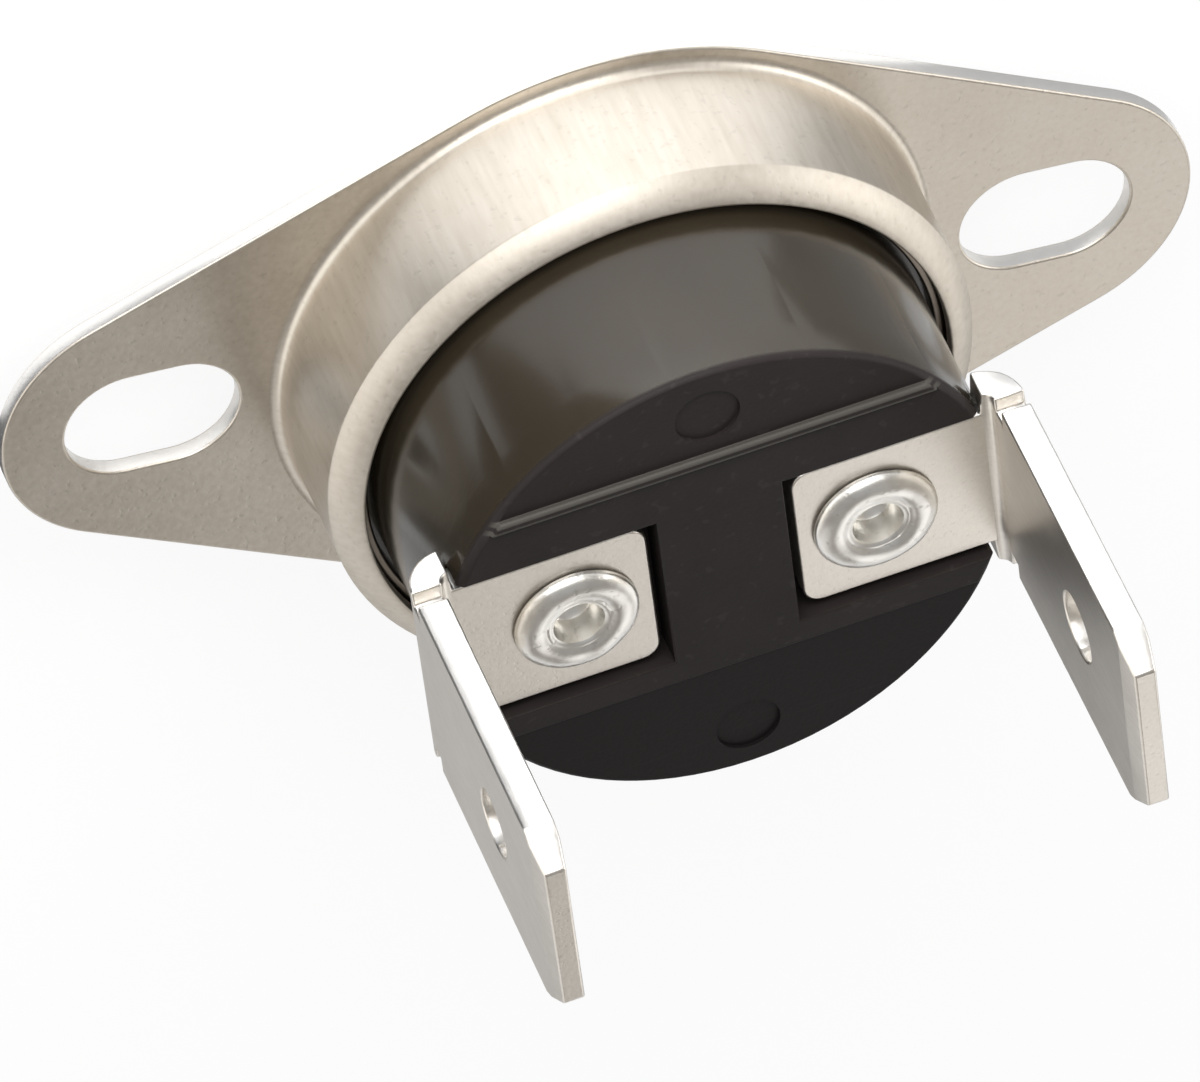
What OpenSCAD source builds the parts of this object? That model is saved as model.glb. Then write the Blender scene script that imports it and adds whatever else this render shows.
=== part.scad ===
// Snap-disc temperature switch with a turning two-slot flange and two upright tabs
// Origin: centre of the flat sensing face. +X: long axis of the flange. +Z: towards the tabs.
// The switch is drawn cold, with its contacts closed.

/* [Mounting flange] */
// Distance between the centres of the two mounting slots
hole_pitch = 23.8; // [22.5:0.1:26]
// Length of each mounting slot, end to end
slot_length = 4.6; // [3.8:0.1:5]
// Width of each mounting slot
slot_width = 3.3; // [2.8:0.1:3.6]
// Width of the flange at its rounded ends
lobe_width = 7.9; // [7:0.1:9]
// Width of flat sheet left beside the collar's fillet
plate_margin = 0.15; // [0.1:0.05:1]
// Thickness of the flange's sheet
plate_thickness = 0.5; // [0.4:0.05:0.7]
// Height of the flange's underside above the sensing face
flange_height = 2.5; // [2.2:0.1:3.2]
// Thickness of the collar's drawn wall
collar_wall = 0.4; // [0.3:0.05:0.5]
// Height of the collar above the flange's sheet
collar_height = 4.3; // [3.6:0.1:4.6]
// Radius of the fillet where the collar rises from the sheet
collar_fillet = 0.4; // [0.2:0.05:0.55]
// Outer radius of the collar's rolled rim
rim_roll = 0.75; // [0.6:0.05:0.8]
// Gap between the rolled rim and the case
rim_gap = 0.35; // [0.3:0.05:0.4]

/* [Sensing cup] */
// Thickness of the cup's sheet
cup_wall = 0.35; // [0.3:0.05:0.4]
// Outer radius of the edge round the sensing face
cup_corner = 0.7; // [0.5:0.1:1]

/* [Snap disc] */
// Diameter of the bimetal disc
disc_diameter = 12.7; // [11.5:0.1:13]
// Thickness of the bimetal disc
disc_thickness = 0.2; // [0.15:0.01:0.25]
// Depth of the disc's dish
disc_dish = 0.45; // [0.3:0.05:0.6]

/* [Disc guide] */
// Width of the guide's rim round the disc
guide_rim = 1.1; // [1:0.05:1.3]
// Radial play of the disc inside the guide's rim
disc_play = 0.2; // [0.1:0.05:0.3]
// Depth of the recess that holds the disc
guide_recess = 1.15; // [1.05:0.05:1.3]
// Thickness of the guide's web
guide_web = 1.4; // [1:0.1:1.6]
// Outer diameter of the boss round the pin
boss_diameter = 4.4; // [3.6:0.1:5]
// Height of the boss above the web
boss_height = 1.5; // [0.8:0.1:1.8]

/* [Push pin] */
// Diameter of the ceramic pin
pin_diameter = 2; // [1.6:0.1:2.4]
// Radius of the pin's domed end
pin_dome = 2; // [1.5:0.1:3]

/* [Case] */
// Angle of the tabs' line from the flange's long axis
case_turn = 8; // [0:1:30]
// Width of the shoulder that the cup is crimped over
shoulder_width = 0.25; // [0.2:0.05:0.35]
// Loss of radius from the shoulder to the end face
case_draft = 0.05; // [0:0.01:0.1]
// Height of the end face round the feet above the sensing face
case_height = 12.3; // [12:0.05:14]
// Step down to the outer fields of the end face
step_height = 0.05; // [0.03:0.01:0.1]
// Distance of the fine rib's outer side from the line of the tabs
rib_reach = 4.55; // [3.6:0.05:4.8]
// Width of the fine rib
rib_width = 0.36; // [0.25:0.01:0.6]
// Height of the fine rib
rib_height = 0.12; // [0.05:0.01:0.3]
// Bevel round the end face
end_bevel = 0.15; // [0.05:0.05:0.3]
// Thickness of the case's wall round the switch chamber
case_wall = 1.2; // [0.9:0.05:1.25]
// Thickness of the roof under the tabs' feet
roof_thickness = 1.95; // [1.5:0.05:2.2]
// Length of the block between the two feet
block_length = 3.3; // [2.4:0.1:3.4]
// Width of the full-height land beside the pockets, on the side away from the rib
land_width = 0.75; // [0.3:0.05:1]
// Diameter of the shallow ejector marks
ejector_diameter = 1.7; // [1:0.1:2]
// Depth of the ejector marks
ejector_depth = 0.1; // [0.05:0.01:0.2]
// Distance of the ejector marks' centres from the case's wall
ejector_inset = 1.55; // [1.4:0.05:1.65]

/* [Tabs] */
// Width of each tab
tab_width = 6.3; // [4.8:0.1:6.5]
// Thickness of the tabs' strip
tab_thickness = 0.8; // [0.6:0.05:0.9]
// Height of each tab above its foot
tab_length = 9.55; // [8:0.05:11]
// Distance of each tab's outer face from the case's wall
tab_overhang = 0.65; // [0.5:0.05:1.5]
// Width of the foot that is riveted to the case
foot_width = 4.8; // [3.8:0.1:5]
// Depth of the foot's top below the end face
foot_recess = 0.25; // [0.1:0.05:0.6]
// Radius inside the bend
bend_radius = 0.3; // [0.2:0.05:0.5]
// Radius of the foot's corners
foot_corner = 0.5; // [0.2:0.05:0.8]
// Height of the relief notch beside the bend
notch_height = 0.45; // [0.3:0.05:0.6]
// Depth of the relief notch
notch_depth = 0.5; // [0.3:0.05:0.7]
// Length of the bevels at the tab's two tip corners
tip_length = 1.05; // [0.5:0.05:1.5]
// Width of the bevels at the tab's two tip corners
tip_width = 0.7; // [0.4:0.05:1]
// Length of the lead-in on the tab's faces
lead_length = 0.7; // [0.4:0.05:1]
// Depth of the lead-in on each face
lead_depth = 0.12; // [0.05:0.01:0.2]
// Diameter of the hole in each tab
tab_hole = 1.85; // [1.4:0.05:2]
// Height of the tab's hole above its foot
tab_hole_height = 5.45; // [3.5:0.05:6.5]

/* [Rivets] */
// Distance of each rivet's axis from the case's wall
rivet_inset = 3.45; // [3.4:0.05:3.6]
// Diameter of the rivet's shank
rivet_shank = 2.2; // [1.8:0.1:2.3]
// Diameter of the rolled head
rivet_head = 3.3; // [3:0.1:3.6]
// Height of the rolled head
rivet_head_height = 0.38; // [0.3:0.02:0.5]
// Height of the rolled head's rim, where it lies on the foot
rivet_rim = 0.12; // [0.08:0.02:0.16]
// Diameter of the rolled head's mouth
rivet_mouth = 1.7; // [1.5:0.05:1.8]
// Diameter of the rivet's open bore
rivet_bore = 1.2; // [0.9:0.1:1.3]
// Depth of the rivet's open bore below the foot's face
rivet_bore_depth = 1.1; // [0.8:0.1:2.4]
// Diameter of the flat head inside the case
rivet_foot = 2.8; // [2.6:0.1:2.9]
// Thickness of the flat head inside the case
rivet_foot_thickness = 0.5; // [0.3:0.05:0.6]

/* [Switch] */
// Thickness of the two brass brackets
strip_thickness = 0.4; // [0.3:0.05:0.45]
// Drop from the roof to the top of the spring arm
arm_drop = 2.3; // [2.2:0.05:2.5]
// Thickness of the spring arm
arm_thickness = 0.2; // [0.12:0.02:0.26]
// Distance of the arm's bending line from the pin
arm_lever = 3; // [2.6:0.1:3.4]
// Width of the arm's neck
arm_neck = 2.2; // [1.6:0.1:2.8]
// Width of the arm over the pin
arm_width = 3.4; // [2.8:0.1:4]
// Distance of the contacts' axis from the chamber's wall
contact_inset = 2.3; // [2.2:0.05:2.6]
// Diameter of the silver contacts
contact_diameter = 2.4; // [1.8:0.1:2.4]
// Thickness of the silver contacts
contact_thickness = 0.5; // [0.3:0.05:0.6]
// Diameter of the small rivet that holds the arm
arm_rivet_diameter = 1; // [0.8:0.1:1.1]

/* [Fits] */
// Radial clearance of the collar on the cup
collar_clearance = 0.1; // [0.05:0.01:0.1]
// Gap between the rolled rim and the crimp that it sits on
seat_gap = 0.12; // [0.08:0.01:0.2]
// Radial clearance of the pin in the guide
pin_clearance = 0.06; // [0.03:0.01:0.1]
// Clearance of parts that are fitted into each other
fit_clearance = 0.05; // [0.02:0.01:0.08]
// Clearance beside the feet in their pockets
pocket_clearance = 0.25; // [0.1:0.05:0.3]
// Gap between the feet and the block
pocket_end_gap = 0.25; // [0.1:0.05:0.35]
// Free play at each end of the pin
pin_play = 0.06; // [0.03:0.01:0.1]

/* [Hidden] */
$fn = 96;
// Overshoot of cutting tools
cut = 1;
// Steps of a quarter arc in a turned outline
arc_steps = 8;

// Radii from the disc outwards
disc_r = disc_diameter / 2;
disc_room = disc_r + disc_play;
guide_r = disc_room + guide_rim;
cup_inside_r = guide_r + fit_clearance;
cup_r = cup_inside_r + cup_wall;
bore_r = cup_r + collar_clearance;
collar_r = bore_r + collar_wall;
plate_r = collar_r + collar_fillet + plate_margin;

// Radii from the shoulder inwards
case_base_r = guide_r;
case_r = case_base_r - shoulder_width;
rim_r = case_r + rim_gap;
chamber_r = case_r - case_wall;

// Flange levels and radii
sheet_top = flange_height + plate_thickness;
rim_top = sheet_top + collar_height;
roll_inside = rim_roll - collar_wall;
roll_z = rim_top - rim_roll;
bend_under = collar_fillet + collar_wall;
slot_r = slot_width / 2;

// Crimp and shoulder
crimp_top = rim_top - collar_wall - seat_gap;
shoulder_z = crimp_top - cup_wall;
crimp_corner = cup_wall;

// Disc and guide
disc_z = cup_wall + fit_clearance;
dish_r = (disc_r * disc_r + disc_dish * disc_dish) / (2 * disc_dish);
dish_angle = asin(disc_r / dish_r);
guide_ceiling = cup_wall + guide_recess;
guide_top = guide_ceiling + guide_web;

// Case levels
field_z = case_height - step_height;
foot_top = case_height - foot_recess;
foot_z = foot_top - tab_thickness;
roof_z = foot_z - roof_thickness;
pocket_width = foot_width + 2 * pocket_clearance;

// Tabs and rivets
tab_outer = case_r + tab_overhang;
tab_inner = tab_outer - tab_thickness;
foot_end = block_length / 2 + pocket_end_gap;
rivet_x = case_r - rivet_inset;
shank_r = rivet_shank / 2;
shank_hole_r = shank_r + fit_clearance;

// Switch levels
pad_z = roof_z - strip_thickness;
arm_top = roof_z - arm_drop;
arm_z = arm_top - arm_thickness;
contact_r = contact_diameter / 2;
contact_offset = chamber_r - contact_inset;
contact_face = arm_z - contact_thickness;
shelf_top = contact_face - 0.03 - contact_thickness;
shelf_z = shelf_top - strip_thickness;
bracket_width = 3.2;
bracket_reach = chamber_r - 0.3;
leg_width = 2;
leg_reach = chamber_r - 0.15;
arm_root = bracket_reach - strip_thickness - 0.1;
arm_rivet_x = arm_lever + (arm_root - arm_lever) / 2;
contact_shank_r = contact_r / 2;
pin_r = pin_diameter / 2;
pin_z = disc_z + disc_thickness + pin_play;
pin_top = arm_z - pin_play;

// Points of an arc with its centre at c, from angle a to angle b
function arc(c, r, a, b, n = arc_steps) =
  [for (i = [0:n]) c + r * [cos(a + (b - a) * i / n), sin(a + (b - a) * i / n)]];

// Angle at which a straight edge touches both the middle and an end of the flange
function tangent_angle(big, small, pitch) = acos((big - small) / pitch);

// Outline of the flange: two rounded ends joined to a round middle by straight edges
module flange_outline() {
  big = plate_r;
  small = lobe_width / 2;
  end_x = hole_pitch / 2;
  a = tangent_angle(big, small, end_x);
  polygon(concat(
    arc([end_x, 0], small, -a, a, 32),
    arc([0, 0], big, a, 180 - a, 16),
    arc([-end_x, 0], small, 180 - a, 180 + a, 32),
    arc([0, 0], big, 180 + a, 360 - a, 16)
  ));
}

// Wall section of the collar, from the bend under the sheet to the rolled rim
module collar_section() {
  polygon(concat(
    arc([bore_r + bend_under, flange_height + bend_under], bend_under, 270, 180),
    arc([bore_r - roll_inside, roll_z], roll_inside, 0, 90),
    [[rim_r, rim_top - collar_wall], [rim_r, rim_top]],
    arc([bore_r - roll_inside, roll_z], rim_roll, 90, 0),
    arc([collar_r + collar_fillet, sheet_top + collar_fillet], collar_fillet, 180, 270)
  ));
}

// One mounting slot, long axis along X
module slot_cutter() {
  half = slot_length / 2 - slot_r;
  translate([0, 0, flange_height - cut]) {
    for (side = [-1, 1]) translate([side * half, 0, 0]) cylinder(r = slot_r, h = plate_thickness + 2 * cut);
    translate([-half, -slot_r, 0]) cube([2 * half, 2 * slot_r, plate_thickness + 2 * cut]);
  }
}

// Flange and collar, drawn from one sheet
module mounting_flange() {
  color([0.72, 0.69, 0.63]) difference() {
    union() {
      difference() {
        translate([0, 0, flange_height]) linear_extrude(plate_thickness) flange_outline();
        translate([0, 0, flange_height - cut])
          cylinder(r = collar_r + collar_fillet, h = plate_thickness + 2 * cut);
      }
      rotate_extrude() collar_section();
    }
    for (side = [-1, 1]) translate([side * hole_pitch / 2, 0, 0]) slot_cutter();
  }
}

// Aluminium cup: flat sensing face, straight skirt and a crimp over the case's shoulder
module sensing_cup() {
  inner_corner = max(cup_corner - cup_wall, 0.1);
  color([0.86, 0.86, 0.85]) rotate_extrude() polygon(concat(
    [[0, 0]],
    arc([cup_r - cup_corner, cup_corner], cup_corner, 270, 360),
    arc([cup_r - crimp_corner, crimp_top - crimp_corner], crimp_corner, 0, 90),
    [[case_r + fit_clearance, crimp_top], [case_r + fit_clearance, shoulder_z], [cup_inside_r, shoulder_z]],
    arc([cup_inside_r - inner_corner, cup_wall + inner_corner], inner_corner, 0, -90),
    [[0, cup_wall]]
  ));
}

// Bimetal disc, dished towards the sensing face while it is cold
module bimetal_disc() {
  centre = [0, disc_z + dish_r];
  color([0.62, 0.6, 0.56]) rotate_extrude() polygon(concat(
    arc(centre, dish_r, 270, 270 + dish_angle, 12),
    arc(centre, dish_r - disc_thickness, 270 + dish_angle, 270, 12)
  ));
}

// Guide over the disc, with the boss that the pin slides in
module disc_guide() {
  pin_hole = pin_r + pin_clearance;
  edge = cup_corner - cup_wall + 0.1;
  boss_r = boss_diameter / 2;
  color([0.36, 0.24, 0.17]) rotate_extrude() polygon([
    [pin_hole, guide_ceiling], [disc_room, guide_ceiling], [disc_room, cup_wall],
    [guide_r - edge, cup_wall], [guide_r, cup_wall + edge], [guide_r, guide_top],
    [boss_r, guide_top], [boss_r, guide_top + boss_height], [pin_hole, guide_top + boss_height]
  ]);
}

// Ceramic pin between the disc and the arm, domed at both ends
module push_pin() {
  drop = pin_dome - sqrt(pin_dome * pin_dome - pin_r * pin_r);
  rise = asin(pin_r / pin_dome);
  color([0.93, 0.92, 0.88]) rotate_extrude() polygon(concat(
    arc([0, pin_z + pin_dome], pin_dome, 270, 270 + rise, 6),
    [[pin_r, pin_z + drop], [pin_r, pin_top - drop]],
    arc([0, pin_top - pin_dome], pin_dome, 90 - rise, 90, 6)
  ));
}

// Moulded case: base, shoulder and tapered body, lower outer fields and a fine rib across the end face
module case_block() {
  end_r = case_r - case_draft;
  face_r = end_r - end_bevel;
  difference() {
    rotate_extrude() polygon([
      [0, guide_top], [case_base_r, guide_top], [case_base_r, shoulder_z], [case_r, shoulder_z],
      [end_r, case_height - end_bevel], [face_r, case_height], [0, case_height]
    ]);
    for (from_y = [-rib_reach - case_r, pocket_width / 2 + land_width])
      translate([-case_r, from_y, field_z]) cube([2 * case_r, case_r, step_height + cut]);
  }
  intersection() {
    translate([0, 0, field_z]) cylinder(r = face_r, h = step_height + rib_height);
    translate([-case_r, -rib_reach, field_z - cut]) cube([2 * case_r, rib_width, rib_height + 2 * cut]);
  }
}

// Pocket for one foot, open at the side of the case
module foot_pocket() {
  translate([block_length / 2, -pocket_width / 2, foot_z])
    cube([case_r, pocket_width, case_height - foot_z + cut]);
}

// Case with its switch chamber, pockets, rivet holes and ejector marks
module case() {
  color([0.13, 0.12, 0.12]) rotate([0, 0, case_turn]) difference() {
    case_block();
    translate([0, 0, guide_top - cut]) cylinder(r = chamber_r, h = roof_z - guide_top + cut);
    for (side = [0, 180]) rotate([0, 0, side]) {
      foot_pocket();
      translate([rivet_x, 0, roof_z - cut]) cylinder(r = shank_hole_r, h = roof_thickness + 2 * cut);
      translate([0, case_r - ejector_inset, field_z - ejector_depth])
        cylinder(r = ejector_diameter / 2, h = ejector_depth + cut);
    }
  }
}

// Side view of a tab: foot, bend and blade
module tab_section() {
  bend = [tab_inner - bend_radius, foot_top + bend_radius];
  tip = foot_top + tab_length;
  polygon(concat(
    [[foot_end, foot_z]],
    arc(bend, bend_radius + tab_thickness, 270, 360),
    [[tab_outer, tip - lead_length], [tab_outer - lead_depth, tip],
     [tab_inner + lead_depth, tip], [tab_inner, tip - lead_length]],
    arc(bend, bend_radius, 360, 270),
    [[foot_end, foot_top]]
  ));
}

// Plan of the foot with its two rounded corners, out to the full width at the bend
module foot_plan() {
  half = foot_width / 2;
  shoulder_x = tab_inner - bend_radius + 0.05;
  polygon(concat(
    arc([foot_end + foot_corner, half - foot_corner], foot_corner, 90, 180, 6),
    arc([foot_end + foot_corner, foot_corner - half], foot_corner, 180, 270, 6),
    [[shoulder_x, -half], [shoulder_x, -tab_width / 2], [tab_outer + cut, -tab_width / 2],
     [tab_outer + cut, tab_width / 2], [shoulder_x, tab_width / 2], [shoulder_x, half]]
  ));
}

// Front view of the blade: bevelled tip and relief notches at the bend
module blade_plan() {
  half = tab_width / 2;
  low = foot_z - cut;
  tip = foot_top + tab_length;
  notch = foot_top + bend_radius;
  polygon([
    [-half, low], [half, low], [half, notch], [half - notch_depth, notch],
    [half - notch_depth, notch + notch_height], [half, notch + notch_height],
    [half, tip - tip_length], [half - tip_width, tip], [tip_width - half, tip], [-half, tip - tip_length],
    [-half, notch + notch_height], [notch_depth - half, notch + notch_height],
    [notch_depth - half, notch], [-half, notch]
  ]);
}

// One tab on the +X side, bent up from its riveted foot
module tab() {
  difference() {
    intersection() {
      translate([0, tab_width / 2, 0]) rotate([90, 0, 0]) linear_extrude(tab_width) tab_section();
      translate([0, 0, foot_z - cut]) linear_extrude(tab_length + tab_thickness + 2 * cut) foot_plan();
      translate([foot_end - cut, 0, 0]) rotate([90, 0, 90]) linear_extrude(tab_outer) blade_plan();
    }
    translate([rivet_x, 0, foot_z - cut]) cylinder(r = shank_hole_r, h = tab_thickness + 2 * cut);
    translate([tab_inner - cut, 0, foot_top + tab_hole_height]) rotate([0, 90, 0])
      cylinder(d = tab_hole, h = tab_thickness + 2 * cut);
  }
}

module arm_tab() {
  color([0.78, 0.76, 0.7]) rotate([0, 0, case_turn]) tab();
}

module contact_tab() {
  color([0.78, 0.76, 0.7]) rotate([0, 0, case_turn + 180]) tab();
}

// Tubular rivet: head rolled outward on the foot, blind bore, flat head inside the case
module tab_rivet() {
  head_r = rivet_head / 2;
  hole_r = rivet_bore / 2;
  mouth_r = rivet_mouth / 2;
  top = foot_top + rivet_head_height;
  dish = top - 0.08;
  floor_z = foot_top - rivet_bore_depth;
  color([0.85, 0.84, 0.8]) translate([rivet_x, 0, 0]) rotate_extrude() polygon(concat(
    [[0, pad_z - rivet_foot_thickness], [rivet_foot / 2, pad_z - rivet_foot_thickness],
     [rivet_foot / 2, pad_z], [shank_r, pad_z], [shank_r, foot_top], [head_r - 0.05, foot_top],
     [head_r, foot_top + rivet_rim / 2], [head_r, foot_top + rivet_rim],
     [head_r - 0.2, top - 0.03], [head_r - 0.35, top], [head_r - 0.5, top],
     [mouth_r, dish]],
    arc([mouth_r, dish - mouth_r + hole_r], mouth_r - hole_r, 90, 180, 5),
    [[hole_r, floor_z + 0.1], [hole_r - 0.2, floor_z], [0, floor_z]]
  ));
}

module arm_tab_rivet() {
  rotate([0, 0, case_turn]) tab_rivet();
}

module contact_tab_rivet() {
  rotate([0, 0, case_turn + 180]) tab_rivet();
}

// Brass bracket under the roof: riveted pad, leg at the chamber wall and the foot that carries the arm
module arm_bracket() {
  half = bracket_width / 2;
  color([0.76, 0.62, 0.36]) rotate([0, 0, case_turn]) difference() {
    translate([0, half, 0]) rotate([90, 0, 0]) linear_extrude(bracket_width) polygon([
      [rivet_x - 1.6, pad_z], [bracket_reach - strip_thickness, pad_z],
      [bracket_reach - strip_thickness, arm_top + strip_thickness], [arm_lever, arm_top + strip_thickness],
      [arm_lever, arm_top], [bracket_reach, arm_top], [bracket_reach, roof_z], [rivet_x - 1.6, roof_z]
    ]);
    translate([rivet_x, 0, pad_z - strip_thickness]) cylinder(r = shank_hole_r, h = 3 * strip_thickness);
    translate([arm_rivet_x, 0, arm_top - strip_thickness])
      cylinder(d = arm_rivet_diameter + 2 * fit_clearance, h = 3 * strip_thickness);
  }
}

// Plan of the spring arm: clamped root, narrow neck, wide middle and a round end at the contact
module arm_plan() {
  root = bracket_width / 2;
  neck = arm_neck / 2;
  body = arm_width / 2;
  tip = contact_r + 0.2;
  polygon(concat(
    [[arm_root, -root], [arm_root, root], [arm_lever + 0.2, root], [arm_lever - 0.2, neck],
     [arm_lever - 1, neck], [arm_lever - 1.4, body], [-contact_offset + 1.5, body]],
    arc([-contact_offset, 0], tip, 90, 270, 16),
    [[-contact_offset + 1.5, -body], [arm_lever - 1.4, -body], [arm_lever - 1, -neck],
     [arm_lever - 0.2, -neck], [arm_lever + 0.2, -root]]
  ));
}

// Copper alloy leaf that holds the contacts closed until the pin lifts it
module spring_arm() {
  color([0.8, 0.55, 0.33]) rotate([0, 0, case_turn]) difference() {
    translate([0, 0, arm_z]) linear_extrude(arm_thickness) arm_plan();
    translate([arm_rivet_x, 0, arm_z - cut])
      cylinder(d = arm_rivet_diameter + 2 * fit_clearance, h = arm_thickness + 2 * cut);
    translate([-contact_offset, 0, arm_z - cut])
      cylinder(r = contact_shank_r + fit_clearance, h = arm_thickness + 2 * cut);
  }
}

// Small rivet through the bracket's foot and the arm's root
module arm_rivet() {
  shank = arm_rivet_diameter / 2;
  head = shank + 0.3;
  head_height = 0.25;
  color([0.76, 0.62, 0.36]) rotate([0, 0, case_turn]) translate([arm_rivet_x, 0, 0])
    rotate_extrude() polygon([
      [0, arm_z - head_height], [head, arm_z - head_height], [head, arm_z], [shank, arm_z],
      [shank, arm_top + strip_thickness], [head, arm_top + strip_thickness],
      [head - 0.1, arm_top + strip_thickness + head_height], [0, arm_top + strip_thickness + head_height]
    ]);
}

// Silver contact: face, shank through its carrier and a small head behind, face down
module contact_rivet(carrier, face_corner) {
  head = contact_shank_r + 0.2;
  rotate_extrude() polygon([
    [0, -contact_thickness], [contact_r - face_corner, -contact_thickness],
    [contact_r, face_corner - contact_thickness], [contact_r, 0], [contact_shank_r, 0],
    [contact_shank_r, carrier], [head, carrier], [head, carrier + 0.2], [0, carrier + 0.2]
  ]);
}

module moving_contact() {
  color([0.88, 0.88, 0.86]) rotate([0, 0, case_turn])
    translate([-contact_offset, 0, arm_z]) contact_rivet(arm_thickness, 0.1);
}

// Brass bracket that reaches round the arm's end and holds the fixed contact below it
module contact_bracket() {
  half = bracket_width / 2;
  shelf_end = contact_offset - contact_r - 0.1;
  inside = leg_reach - strip_thickness;
  color([0.76, 0.62, 0.36]) rotate([0, 0, case_turn + 180]) difference() {
    union() {
      translate([rivet_x - 1.6, -half, pad_z]) cube([inside - rivet_x + 1.6, bracket_width, strip_thickness]);
      translate([0, leg_width / 2, 0]) rotate([90, 0, 0]) linear_extrude(leg_width) polygon([
        [rivet_x, pad_z], [inside, pad_z], [inside, shelf_top], [shelf_end, shelf_top],
        [shelf_end, shelf_z], [leg_reach, shelf_z], [leg_reach, roof_z], [rivet_x, roof_z]
      ]);
    }
    translate([rivet_x, 0, pad_z - strip_thickness]) cylinder(r = shank_hole_r, h = 3 * strip_thickness);
    translate([contact_offset, 0, shelf_z - cut])
      cylinder(r = contact_shank_r + fit_clearance, h = strip_thickness + 2 * cut);
  }
}

module fixed_contact() {
  color([0.88, 0.88, 0.86]) rotate([0, 0, case_turn + 180])
    translate([contact_offset, 0, shelf_top]) rotate([180, 0, 0]) contact_rivet(strip_thickness, 0.1);
}

mounting_flange();
sensing_cup();
bimetal_disc();
disc_guide();
push_pin();
case();
arm_tab();
contact_tab();
arm_tab_rivet();
contact_tab_rivet();
arm_bracket();
spring_arm();
arm_rivet();
moving_contact();
contact_bracket();
fixed_contact();
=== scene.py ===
import math
import bpy
import bmesh
from mathutils import Matrix, Vector, noise


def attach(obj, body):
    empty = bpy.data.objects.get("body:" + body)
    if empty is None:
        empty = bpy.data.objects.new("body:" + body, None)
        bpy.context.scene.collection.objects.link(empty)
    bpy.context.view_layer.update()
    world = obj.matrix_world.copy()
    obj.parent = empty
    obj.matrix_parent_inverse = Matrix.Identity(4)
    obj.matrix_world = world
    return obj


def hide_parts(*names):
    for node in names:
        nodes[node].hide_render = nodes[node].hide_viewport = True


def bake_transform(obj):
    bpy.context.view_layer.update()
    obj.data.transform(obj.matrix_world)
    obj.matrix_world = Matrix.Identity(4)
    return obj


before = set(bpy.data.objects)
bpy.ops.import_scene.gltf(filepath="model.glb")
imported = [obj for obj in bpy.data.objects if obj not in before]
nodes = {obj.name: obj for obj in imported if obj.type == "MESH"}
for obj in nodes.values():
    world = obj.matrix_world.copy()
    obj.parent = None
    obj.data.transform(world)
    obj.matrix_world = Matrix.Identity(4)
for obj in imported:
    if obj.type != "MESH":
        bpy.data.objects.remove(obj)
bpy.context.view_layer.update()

mm = 0.001
print("frame loaded:", len(nodes), "nodes")

# both tabs stand on a line that is turned a little from the flange's long axis
caseTurn = math.radians(8)
alongTabs = Vector((math.cos(caseTurn), math.sin(caseTurn), 0))
acrossTabs = Vector((-math.sin(caseTurn), math.cos(caseTurn), 0))
upright = Vector((0, 0, 1))
rivetPlace = 3.95  # mm, from the axis of the switch to that of a rivet

view = {
    "azimuth": 19.637, "elevation": 39.734, "roll": 154.047,  # degrees
    "distance": 401.49, "aim": (0.0, 0.0, 10.0),  # mm
    "slide": (-2.4146, -0.796),  # mm, along the picture's sides
    "lens": 485.48, "sensor": 36,  # mm
    "clip": (0.01, 20),  # metres
}


def makeCamera():
    turn, height, roll = (math.radians(view[key]) for key in ("azimuth", "elevation", "roll"))
    back = Vector((math.sin(turn) * math.cos(height), -math.cos(turn) * math.cos(height),
                   math.sin(height)))
    level = upright.cross(back).normalized()
    rise = back.cross(level)
    right = math.cos(roll) * level + math.sin(roll) * rise
    top = math.cos(roll) * rise - math.sin(roll) * level
    aside, above = view["slide"]
    place = Vector(view["aim"]) + back * view["distance"] + right * aside + top * above
    data = bpy.data.cameras.new("camera")
    data.sensor_width = view["sensor"]
    data.lens = view["lens"]
    data.clip_start, data.clip_end = view["clip"]
    camera = bpy.data.objects.new("camera", data)
    bpy.context.scene.collection.objects.link(camera)
    axes = Matrix((right, top, back)).transposed().to_4x4()
    camera.matrix_world = Matrix.Translation(place * mm) @ axes
    bpy.context.scene.camera = camera


makeCamera()
print("camera placed")

# how steeply a finish changes at the edge of a region, per mm
edgeSlope = {"height": 10.0, "radius": 20.0, "band": 25.0}
# and where it follows the way that a face looks
facingStep = {"place": 0.725, "slope": 4.0}


class Value:  # a socket that takes part in sums
    def __init__(self, finish, socket):
        self.finish, self.socket = finish, socket

    def maths(self, operation, *operands):
        return self.finish.add("ShaderNodeMath", {"operation": operation}, dict(enumerate(operands)))

    def over(self, limit):
        return self.maths("GREATER_THAN", self, limit)

    def root(self):
        return self.maths("SQRT", self)

    def clamped(self):
        return self.maths("MINIMUM", self.maths("MAXIMUM", self, 0.0), 1.0)

    def step(self, place, slope):  # rises from 0 to 1 about a place, or falls with a minus slope
        return ((self - place) * slope + 0.5).clamped()

    def __abs__(self): return self.maths("ABSOLUTE", self)
    def __add__(self, other): return self.maths("ADD", self, other)
    def __radd__(self, other): return self.maths("ADD", other, self)
    def __sub__(self, other): return self.maths("SUBTRACT", self, other)
    def __rsub__(self, other): return self.maths("SUBTRACT", other, self)
    def __mul__(self, other): return self.maths("MULTIPLY", self, other)
    def __rmul__(self, other): return self.maths("MULTIPLY", other, self)


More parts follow.
